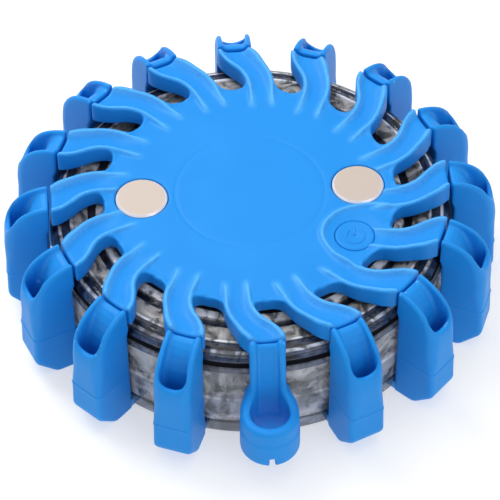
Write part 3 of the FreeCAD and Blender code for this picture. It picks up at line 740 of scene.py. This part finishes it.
def make_cover():
    reach = COVER_END + 0.9
    xs = np.arange(-reach, reach + COVER_STEP, COVER_STEP)
    ys = xs.copy()
    zs = stacked((28.6, 30.9, 0.3), (31.0, 33.0, 0.5), (33.1, 36.7, 0.22))
    x, y = np.meshgrid(xs, ys, indexing="ij")
    radius = np.hypot(x, y)
    plan, height, crest = cover_plan(x, y)

    # the hub's shallow circle, the dish round the button and the bead that loops round it
    height = height - 0.10 * np.exp(-(((radius - HUB_LINE) / 0.42) ** 2))
    around = np.hypot(x - BUTTON[0], y - BUTTON[1])
    height = height - 0.35 * (1 - smooth(5.4, 8.0, around))
    bead = np.exp(-((line_distance(BUTTON_LOOP, x, y) / BEAD_HALF) ** 2))
    height = height + 0.72 * bead * (1 - smooth(33.5, 36.5, radius))
    # the loop's bead takes the painted crest highlight as well
    crest = np.maximum(crest, 0.9 * bead * (radius < 34.5))

    slope = np.gradient(height, COVER_STEP)
    steep = 1.0 / np.sqrt(1 + slope[0] ** 2 + slope[1] ** 2)
    x3, y3, z3 = x[:, :, None], y[:, :, None], zs[None, None, :]
    top = (z3 - height[:, :, None]) * steep[:, :, None]
    solid = round_overlap(np.broadcast_to(plan[:, :, None], top.shape), top, EDGE_ROUND)
    under = np.where(radius < 33.0, LENS_TOP + 0.02, COVER_UNDER)[:, :, None] - z3
    solid = round_overlap(solid, np.broadcast_to(under, solid.shape), 0.3)
    for side in (-1, 1):
        contact = np.hypot(x3 - side * CONTACT_CIRCLE, y3)
        cut = np.maximum(contact - CONTACT_POCKET, CONTACT_FLOOR - z3)
        cut = np.minimum(cut, contact - CONTACT_STEM)
        solid = round_overlap(solid, -cut, 0.25)
    cap = np.hypot(x3 - BUTTON[0], y3 - BUTTON[1])
    cut = np.minimum(cap - BUTTON_BORE, np.maximum(cap - FLANGE_BORE, z3 - FLANGE_ROOF))
    solid = round_overlap(solid, -cut, 0.1)
    verts, faces = surface_net(solid, xs, ys, zs)
    obj = build("cover_moulding", [(verts, faces)])
    column = np.clip(np.round((verts[:, 0] - xs[0]) / COVER_STEP).astype(int), 0, len(xs) - 1)
    row = np.clip(np.round((verts[:, 1] - ys[0]) / COVER_STEP).astype(int), 0, len(ys) - 1)
    top_side = verts[:, 2] > height[column, row] - 0.9
    # how strongly the painted highlight falls, on the cover's top side only
    store = obj.data.attributes.new("crest", "FLOAT", "POINT")
    store.data.foreach_set("value", crest[column, row] * top_side)
    paint(obj, BLUE_COVER)
    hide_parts("top_cover")
    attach(obj, "case")


# ---------------------------------------------------------------- cage
POST_HALF = 4.75
FOOT_HALF = 4.85
FOOT_REACH = 62.4
FOOT_CHAMFER = 5.0
CROWN_OUT, CROWN_UP = 46.66, 21.0  # where the curve of a post's crown begins
CROWN_REACH, CROWN_RISE = 15.4, 15.2  # and how far it runs from there
CROWN_POWER = 2.4
MOUTH_HEIGHT = 30.0
MOUTH_HALF = 3.35
MOUTH_INNER = 58.6
FLASH_HALF = 0.16
EYE_TOP = 18.3
EYE_OUTER = 7.08
EYE_BORE = 4.7
STRAP_HALF = 4.3
CHANNEL_HALF = 2.6
FLOOR_TOP = 2.6
FLOOR_BEVEL = 0.28
CAGE_STEP = 0.38


def post_field(x, y, z):
    """One post in its own frame: x across, y outward from the flare's axis."""
    out = np.maximum(y - CROWN_OUT, 0.0) / CROWN_REACH
    up = np.maximum(z - CROWN_UP, 0.0) / CROWN_RISE
    crown = (out**CROWN_POWER + up**CROWN_POWER) ** (1 / CROWN_POWER)
    dome = np.where(z > CROWN_UP, (crown - 1) * CROWN_REACH, y - CROWN_OUT - CROWN_REACH)
    half = POST_HALF - 0.35 * smooth(27.0, 35.5, z)
    corner = 1.3 + 1.3 * smooth(PARTING, 20.0, z) - 1.6 * smooth(24.0, 34.0, z)
    inner = POST_INNER - 0.65 * smooth(27.0, 29.5, z)
    upper = round_overlap(dome, np.abs(x) - half, corner)
    upper = round_overlap(upper, inner - y, 0.35)
    upper = round_overlap(upper, PARTING - 1.0 - z, 0.05)

    draft = 0.25 * smooth(4.0, PARTING, z)
    chamfer = (y - z - (FOOT_REACH - FOOT_CHAMFER)) / math.sqrt(2)
    foot = round_overlap(y - FOOT_REACH + draft, chamfer, 1.0)
    lower = round_overlap(foot, np.abs(x) - FOOT_HALF + 0.3 * draft, 1.2)
    lower = round_overlap(lower, POST_INNER - y, 0.35)
    lower = round_overlap(lower, z - PARTING, 0.15)
    lower = round_overlap(lower, -z, 0.35)
    solid = np.minimum(upper, lower)
    flash = round_overlap(y - FOOT_REACH + 0.12, np.abs(x) - FOOT_HALF - 0.05, 1.3)
    flash = np.maximum(flash, POST_INNER - y)
    solid = np.minimum(solid, np.maximum(flash, np.abs(z - PARTING) - FLASH_HALF))

    scoop_outline = [
        (48.5, 35.0), (50.5, 34.85), (52.0, 34.4), (53.2, 33.5), (54.3, 32.1), (55.2, 30.2), (55.95, 27.8),
        (56.5, 25.0), (56.9, 22.0), (57.3, 19.2), (57.8, 17.7), (58.6, 17.1), (59.4, 17.5), (60.0, 18.9),
        (60.15, 22.0), (60.15, 26.2), (60.3, 38.0), (48.5, 38.0),
    ]
    width = 3.05 + 0.35 * (1 - smooth(27.0, 35.0, z))
    scoop = extruded(scoop_outline, width, 1.1, x, y, z)
    round_mouth = np.hypot(x, z - MOUTH_HEIGHT) - MOUTH_HALF
    mouth = np.where(z > MOUTH_HEIGHT, np.abs(x) - MOUTH_HALF, round_mouth)
    mouth = np.maximum(mouth, MOUTH_INNER - y)
    return round_overlap(solid, -round_union(scoop, mouth, 0.4), 0.65)


def eye_field(x, y, z):
    """The strap and hanging eye in the same frame as a post."""
    strap_outline = [
        (POST_INNER, 5.0), (POST_INNER, 27.5), (POST_TOP_INNER, 30.0), (POST_TOP_INNER, 36.05),
        (51.6, 35.75), (52.7, 34.8), (53.4, 33.3), (54.0, 30.0), (54.4, 27.0), (54.6, 24.0), (54.8, 20.0),
        (54.8, 5.0),
    ]
    strap = round_overlap(extruded(strap_outline, STRAP_HALF, 0.9, x, y, z), 7.2 - z, 0.1)
    circle = np.hypot(x, y - EYE_CENTRE)
    side = np.maximum(np.abs(x) - 4.4, np.maximum(POST_INNER - y, y - EYE_CENTRE))
    grown = 0.2 * (z < PARTING)
    ring = np.minimum(circle - EYE_OUTER - grown, side - grown)
    ring = round_overlap(ring, z - EYE_TOP, 1.2)
    ring = round_overlap(ring, 6.6 - z, 0.5)
    ring = round_overlap(ring, POST_INNER - y, 0.3)
    solid = round_union(ring, strap, 4.6)
    solid = round_overlap(solid, POST_TOP_INNER - y, 0.3)
    foot = np.maximum(np.abs(x) - 4.9, np.maximum(y - 53.4, POST_INNER - y))
    foot = round_overlap(np.maximum(foot, z - 7.5), -z, 0.35)
    solid = np.minimum(solid, foot)

    hole = np.maximum(circle - EYE_BORE, 53.7 - y)
    channel_outline = [
        (48.5, 34.95), (50.5, 34.75), (51.4, 34.2), (52.0, 33.0), (52.5, 30.0), (52.9, 26.0), (53.2, 22.0),
        (53.4, 17.0), (53.5, 12.0), (58.0, 12.0), (58.0, 38.0), (48.5, 38.0),
    ]
    channel = extruded(channel_outline, CHANNEL_HALF, 0.9, x, y, z)
    solid = round_overlap(solid, -round_union(np.broadcast_to(hole, solid.shape), channel, 0.6), 0.55)
    notch = np.maximum(np.abs(x) - 0.65, np.maximum(62.0 - y, z - 9.1))
    return round_overlap(solid, -notch, 0.2)


def grid_net(field, xs, ys, zs):
    """The surface of a field of x, y and z over the grid."""
    x = xs[:, None, None] + 0.0
    y = ys[None, :, None] + 0.0
    z = zs[None, None, :] + 0.0
    values = field(x, y, z)
    shape = (len(xs), len(ys), len(zs))
    return surface_net(np.broadcast_to(values, shape).copy(), xs, ys, zs)


def outward_to_world(verts, k):
    """Post-frame vertices (across, outward, up) turned to post k."""
    angle = spoke_angle(k)
    across = verts[:, 0]
    along = verts[:, 1]
    out = np.empty_like(verts)
    out[:, 0] = along * math.cos(angle) + across * math.sin(angle)
    out[:, 1] = along * math.sin(angle) - across * math.cos(angle)
    out[:, 2] = verts[:, 2]
    return out


def flipped(faces):
    """The faces turned over, since the post frame is a mirror image of the scene's."""
    return [tuple(face[::-1]) for face in faces]


def floor_part():
    """Floor disc and sixteen floor spokes, with the screw-head recesses, as one flat moulding."""
    curve = bpy.data.curves.new("floor_curve", "CURVE")
    curve.dimensions = "2D"
    curve.fill_mode = "BOTH"
    half = 4.5  # of a floor spoke's width
    disc = 36.0
    reach = 51.6
    screw_recess = 2.55
    points = []
    lean = math.asin(half / disc)
    for k in range(POSTS):
        angle = spoke_angle(k)
        out = Vector((math.cos(angle), math.sin(angle)))
        left = Vector((-out.y, out.x))
        points.append(out * disc * math.cos(lean) - left * half)
        points.append(out * reach - left * half)
        points.append(out * reach + left * half)
        points.append(out * disc * math.cos(lean) + left * half)
        first, last = angle + lean, angle + PITCH - lean
        for step in range(1, 6):
            turn = first + (last - first) * step / 6
            points.append(Vector((disc * math.cos(turn), disc * math.sin(turn))))
    loops = [points]
    circle = [Vector((math.cos(TAU * i / 32), math.sin(TAU * i / 32))) for i in range(32)]
    for turn in SCREW_ANGLES:
        centre = Vector((SCREW_CIRCLE * math.cos(turn), SCREW_CIRCLE * math.sin(turn)))
        loops.append([centre + screw_recess * place for place in circle])
    for loop in loops:
        spline = curve.splines.new("POLY")
        spline.points.add(len(loop) - 1)
        for point, place in zip(spline.points, loop):
            point.co = (place.x, place.y, 0.0, 1.0)
        spline.use_cyclic_u = True
    curve.extrude = FLOOR_TOP / 2 - FLOOR_BEVEL
    curve.bevel_depth = FLOOR_BEVEL
    curve.offset = -FLOOR_BEVEL
    curve.bevel_resolution = 2
    holder = bpy.data.objects.new("floor_curve", curve)
    bpy.context.scene.collection.objects.link(holder)
    bpy.context.view_layer.update()
    mesh = bpy.data.meshes.new_from_object(holder.evaluated_get(bpy.context.evaluated_depsgraph_get()))
    verts = np.array([tuple(v.co) for v in mesh.vertices])
    verts[:, 2] += FLOOR_TOP / 2
    faces = [tuple(p.vertices) for p in mesh.polygons]
    bpy.data.objects.remove(holder)
    bpy.data.curves.remove(curve)
    bpy.data.meshes.remove(mesh)
    return verts, faces


def make_cage():
    xs = np.arange(-5.7, 5.7 + CAGE_STEP, CAGE_STEP)
    ys = np.arange(49.3, 63.2, CAGE_STEP)
    zs = stacked(
        (-0.6, 1.5, 0.35), (1.5, 12.6, 0.75), (12.9, 14.0, 0.2), (14.3, 19.0, 0.7), (19.2, 37.0, CAGE_STEP)
    )
    verts, faces = grid_net(post_field, xs, ys, zs)
    parts = [(outward_to_world(verts, k), flipped(faces)) for k in range(1, POSTS)]
    eye_xs = np.arange(-8.2, 8.2 + CAGE_STEP, CAGE_STEP)
    eye_ys = np.arange(49.3, 66.6, CAGE_STEP)
    eye_zs = stacked((-0.6, 6.0, 0.7), (6.1, 9.8, 0.35), (10.0, 12.7, 0.6), (12.9, 37.0, CAGE_STEP))
    verts, faces = grid_net(eye_field, eye_xs, eye_ys, eye_zs)
    parts.append((outward_to_world(verts, 0), flipped(faces)))
    posts = build("cage_posts", parts)
    paint(posts, BLUE)
    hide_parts("cage")
    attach(posts, "case")
    floor = build("cage_floor", [floor_part()])
    keep_creases(floor, 40)
    paint(floor, BLUE)
    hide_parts("cage")
    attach(floor, "case")


# ---------------------------------------------------------------- lenses
AXIS_GAP = 0.05  # a turned outline stops this short of the axis
CUP_BORE = 48.2
CUP_FLOOR = 4.6
FLUTES = 96  # fine vertical waves inside the cup
FLUTE_DEPTH = 0.22
PILLAR_RADIUS = 3.2


def upper_lens_profile():
    """Outline of the clear dome, with its rounded shoulder and the stepped rings."""
    outline = [
        (AXIS_GAP, 27.2), (45.6, 27.2), (46.2, 25.4), (46.2, 22.8), (47.9, 22.8), (47.9, 26.6), (49.8, 26.6),
        (49.85, 27.0), (49.6, 27.5), (49.0, 27.9), (48.2, 28.2), (47.6, 28.6), (47.0, 28.85), (46.4, 28.9),
    ]
    for middle, half, rise in ((45.1, 0.45, 0.30), (42.6, 1.9, 0.40)):
        for share in range(9):
            turn = math.pi * share / 8
            outline.append((middle + half * math.cos(turn), 28.6 + rise * math.sin(turn)))
    outline += [(40.5, 28.0), (38.9, 28.0), (38.6, 28.9), (36.9, LENS_TOP), (AXIS_GAP, LENS_TOP)]
    return outline


def reflector_part():
    """The plated ring: sixteen faceted cups that open from each light to the lens."""
    jitter = np.random.RandomState(7)
    verts = []
    faces = []
    low, high, middle = 14.05, 22.3, 18.2  # heights of the ring's faces and of the lights
    front, throat = 47.4, 42.8  # radii of its outer and inner faces

    def sheet(corners, across, deep, rough):
        """Facets over the four-sided patch, pushed in and out at random by up to rough."""
        a, b, c, d = [np.array(corner) for corner in corners]
        normal = np.cross(b - a, d - a)
        normal /= np.linalg.norm(normal)
        first = len(verts)
        for j in range(deep + 1):
            for i in range(across + 1):
                u, v = i / across, j / deep
                inner = 0 < i < across and 0 < j < deep
                push = jitter.uniform(-rough, rough) if inner else 0.0
                slide = jitter.uniform(-0.25, 0.25, 2) if inner else (0.0, 0.0)
                u += slide[0] / across
                v += slide[1] / deep
                place = (1 - v) * ((1 - u) * a + u * b) + v * ((1 - u) * d + u * c)
                verts.append(place + normal * push)
        for j in range(deep):
            for i in range(across):
                k = first + j * (across + 1) + i
                faces.append((k, k + 1, k + across + 2))
                faces.append((k, k + across + 2, k + across + 1))

    for index in range(POSTS):
        angle = spoke_angle(index + 0.5)
        out = np.array([math.cos(angle), math.sin(angle), 0.0])
        side = np.array([-math.sin(angle), math.cos(angle), 0.0])

        def opening(reach, half, bottom, top):
            """Corners of an upright rectangle, from the bottom left round to the top left."""
            corners = [(-half, bottom), (half, bottom), (half, top), (-half, top)]
            return [out * reach + side * across + np.array([0, 0, z]) for across, z in corners]

        outer = opening(front * math.cos(PITCH / 2), front * math.sin(PITCH / 2), low, high)
        far = opening(46.7, 7.1, 14.5, 21.9)
        near = opening(throat, 2.1, middle - 1.9, middle + 1.9)
        back = opening(throat * math.cos(PITCH / 2), throat * math.sin(PITCH / 2), low, high)
        for k in range(4):
            m = (k + 1) % 4
            sheet([outer[k], outer[m], far[m], far[k]], 2, 1, 0.0)
            sheet([far[k], far[m], near[m], near[k]], 7 if k % 2 == 0 else 4, 4, 0.42)
            sheet([near[k], near[m], back[m], back[k]], 2, 1, 0.0)
        sheet([outer[3], outer[2], back[2], back[3]], 6, 3, 0.10)
        sheet([back[0], back[1], outer[1], outer[0]], 4, 1, 0.0)
    return np.array(verts), faces


def make_reflector():
    obj = build("reflector_cups", [reflector_part()], shade=False)
    paint(obj, MIRROR)
    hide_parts("reflector_ring")
    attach(obj, "case")


def lower_lens_profile():
    """Outline of the clear cup: skirt, lower band, light line and rim."""
    sharp = [
        (AXIS_GAP, 2.65), (48.4, 2.65), (48.4, 0.6), (50.2, 0.6), (50.25, 3.7), (49.6, 3.9), (49.6, 4.5),
        (50.3, 4.8), (50.35, 12.6), (49.9, 12.95), (49.9, 22.9), (50.4, 23.3), (50.4, 24.75),
        (CUP_BORE, 24.75), (CUP_BORE, CUP_FLOOR), (AXIS_GAP, CUP_FLOOR),
    ]
    return softened(sharp, 0.22, 3)


def make_lenses():
    parts = [ring_of(upper_lens_profile(), 256)]
    pillar = [(AXIS_GAP, 4.62), (PILLAR_RADIUS, 4.62), (PILLAR_RADIUS, 27.6), (AXIS_GAP, 27.6)]
    verts, faces = ring_of(softened(pillar, 0.1, 2), 48)
    for turn in SCREW_ANGLES:
        centre = np.array([SCREW_CIRCLE * math.cos(turn), SCREW_CIRCLE * math.sin(turn), 0.0])
        parts.append((verts + centre, faces))
    upper = build("lens_dome", parts)
    keep_creases(upper, 50)
    paint(upper, CLEAR)
    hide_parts("upper_lens")
    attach(upper, "case")

    verts, faces = ring_of(lower_lens_profile(), 6 * FLUTES)
    radius = np.hypot(verts[:, 0], verts[:, 1])
    angle = np.arctan2(verts[:, 1], verts[:, 0])
    inner = (np.abs(radius - CUP_BORE) < 0.25) & (verts[:, 2] > CUP_FLOOR + 0.1) & (verts[:, 2] < 24.0)
    flute = FLUTE_DEPTH * np.cos(FLUTES * angle)
    grow = np.where(inner, 1 + flute / CUP_BORE, 1.0)
    verts = verts * np.stack([grow, grow, np.ones_like(grow)], axis=1)
    lower = build("lens_cup", [(verts, faces)])
    keep_creases(lower, 50)
    paint(lower, CLEAR_LOWER)
    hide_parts("lower_lens")
    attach(lower, "case")


# ---------------------------------------------------------------- power button and its sign
SIGN_BEAD = 0.34
SIGN_FLATNESS = 0.42
SIGN_RADIUS = 2.25
SIGN_HEIGHT = 33.36


def tube_along(points, radius, flat, sides=12):
    """A rounded bead that follows the points, flattened in height."""
    pts = np.asarray(points, float)
    verts = []
    count = len(pts)
    for i in range(count):
        ahead = pts[min(i + 1, count - 1)] - pts[max(i - 1, 0)]
        ahead /= np.linalg.norm(ahead)
        side = np.array([-ahead[1], ahead[0], 0.0])
        for j in range(sides):
            turn = TAU * j / sides
            lift = np.array([0, 0, radius * flat * math.sin(turn)])
            verts.append(pts[i] + side * radius * math.cos(turn) + lift)
    faces = []
    for i in range(count - 1):
        for j in range(sides):
            k = (j + 1) % sides
            faces.append((i * sides + j, (i + 1) * sides + j, (i + 1) * sides + k, i * sides + k))
    for end in (0, count - 1):
        centre = len(verts)
        ahead = pts[end] - pts[end - 1 if end else 1]
        ahead /= np.linalg.norm(ahead)
        verts.append(pts[end] + ahead * radius * 0.8)
        for j in range(sides):
            k = (j + 1) % sides
            face = (end * sides + j, end * sides + k, centre)
            faces.append(face if end == 0 else face[::-1])
    return np.array(verts), faces


def make_button():
    cap = [
        (0.02, 19.95), (1.6, 19.95), (1.6, 30.2), (5.95, 30.2), (5.95, 30.75), (4.85, 30.75), (4.85, 33.2),
        (4.5, 33.38), (4.0, 33.42), (3.3, 33.34), (0.02, 33.30),
    ]
    verts, faces = ring_of(softened(cap, 0.14, 2), 96)
    centre = np.array([BUTTON[0], BUTTON[1], 0.0])
    parts = [(verts + centre, faces)]
    gap = math.radians(38)
    arc = []
    for turn in np.linspace(TAU / 4 + gap, TAU * 5 / 4 - gap, 33):
        place = [SIGN_RADIUS * math.cos(turn), SIGN_RADIUS * math.sin(turn) - 0.2, SIGN_HEIGHT]
        arc.append(centre + np.array(place))
    bar = [centre + np.array([0, y, SIGN_HEIGHT]) for y in np.linspace(0.2, 2.6, 6)]
    for line in (arc, bar):
        parts.append(tube_along(line, SIGN_BEAD, SIGN_FLATNESS))
    obj = build("button_cap", parts)
    keep_creases(obj, 50)
    paint(obj, BLUE_CAP)
    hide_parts("power_button")
    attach(obj, "button")


# ---------------------------------------------------------------- floor, light and camera
def make_stage():
    """A pale floor that glows a little, so that it stays white under soft light."""
    mesh = bpy.data.meshes.new("studio_floor")
    half = 6.0
    corners = [(-half, -half, 0), (half, -half, 0), (half, half, 0), (-half, half, 0)]
    mesh.from_pydata(corners, [], [(0, 1, 2, 3)])
    floor = bpy.data.objects.new("studio_floor", mesh)
    bpy.context.scene.collection.objects.link(floor)
    floor.location.z = -0.00005  # a hair under the feet
    material, tree, shader = new_material("pale_floor")
    mottle = noise(tree, 3.0, 2.0)
    colours = ramp(tree, mottle.outputs["Fac"], [(0.3, (0.52, 0.52, 0.52)), (0.7, (0.55, 0.55, 0.55))])
    tree.links.new(colours.outputs["Color"], shader.inputs["Base Color"])
    shader.inputs["Roughness"].default_value = 0.8
    shader.inputs["Emission Color"].default_value = (1.0, 1.0, 1.0, 1.0)
    shader.inputs["Emission Strength"].default_value = 0.5
    mesh.materials.append(material)


def add_area(name, place, size, power):
    """A square area light aimed at the middle of the flare."""
    light = bpy.data.lights.new(name, "AREA")
    light.shape = "RECTANGLE"
    light.size = light.size_y = size
    light.energy = power
    obj = bpy.data.objects.new(name, light)
    obj.location = place
    aim = Vector((0, 0, 0.02)) - Vector(place)
    obj.rotation_euler = aim.to_track_quat("-Z", "Y").to_euler()
    bpy.context.scene.collection.objects.link(obj)


def make_light():
    """Soft bands all round, for glossy parts to reflect, and three area lights."""
    world = bpy.data.worlds.new("studio")
    world.use_nodes = True
    tree = world.node_tree
    sky = tree.nodes["Background"]
    where = tree.nodes.new("ShaderNodeTexCoord")
    panels = tree.nodes.new("ShaderNodeTexWave")
    panels.bands_direction = "Z"
    panels.inputs["Scale"].default_value = 0.9
    panels.inputs["Distortion"].default_value = 3.0
    panels.inputs["Detail"].default_value = 1.0
    tree.links.new(where.outputs["Generated"], panels.inputs["Vector"])
    tones = ramp(tree, panels.outputs["Color"], [(0.35, (0.15, 0.15, 0.16)), (0.6, (1.0, 1.0, 1.0))])
    tree.links.new(tones.outputs["Color"], sky.inputs["Color"])
    sky.inputs["Strength"].default_value = 1.0
    bpy.context.scene.world = world
    add_area("key", (-0.35, 0.45, 0.70), 0.45, 4.6)
    add_area("fill", (0.45, -0.6, 0.5), 0.5, 1.2)
    add_area("top", (0.05, 0.0, 0.9), 0.6, 1.7)


CAMERA_ELEVATION = math.radians(48.21)
CAMERA_AZIMUTH = math.radians(-4.087)
CAMERA_ROLL = math.radians(-0.66)
CAMERA_DISTANCE = 626.39
CAMERA_LEFT, CAMERA_DOWN = 0.149, 14.702  # off the hub's middle, to frame the flare


def make_camera():
    """The photographed viewing angle: 48 degrees above the floor, a long lens from about 0.63 m."""
    level = math.cos(CAMERA_ELEVATION)
    back = Vector(
        (math.sin(CAMERA_AZIMUTH) * level, -math.cos(CAMERA_AZIMUTH) * level, math.sin(CAMERA_ELEVATION))
    )
    right = Vector((math.cos(CAMERA_AZIMUTH), math.sin(CAMERA_AZIMUTH), 0.0))
    up = back.cross(right)
    place = Vector((0, 0, HUB_TOP)) + back * CAMERA_DISTANCE - right * CAMERA_LEFT - up * CAMERA_DOWN
    turn = Matrix((right, up, back)).transposed() @ Matrix.Rotation(CAMERA_ROLL, 3, "Z")
    camera = bpy.data.cameras.new("camera")
    camera.lens = 180.94
    camera.sensor_width = 36.0
    camera.sensor_fit = "HORIZONTAL"
    camera.clip_start = 0.01
    camera.clip_end = 50.0
    obj = bpy.data.objects.new("camera", camera)
    obj.matrix_world = Matrix.Translation(place * MM) @ turn.to_4x4()
    bpy.context.scene.collection.objects.link(obj)
    bpy.context.scene.camera = obj


make_cover()
make_cage()
make_lenses()
make_reflector()
make_button()
make_stage()
make_light()
make_camera()
bpy.context.scene.view_settings.view_transform = "Standard"
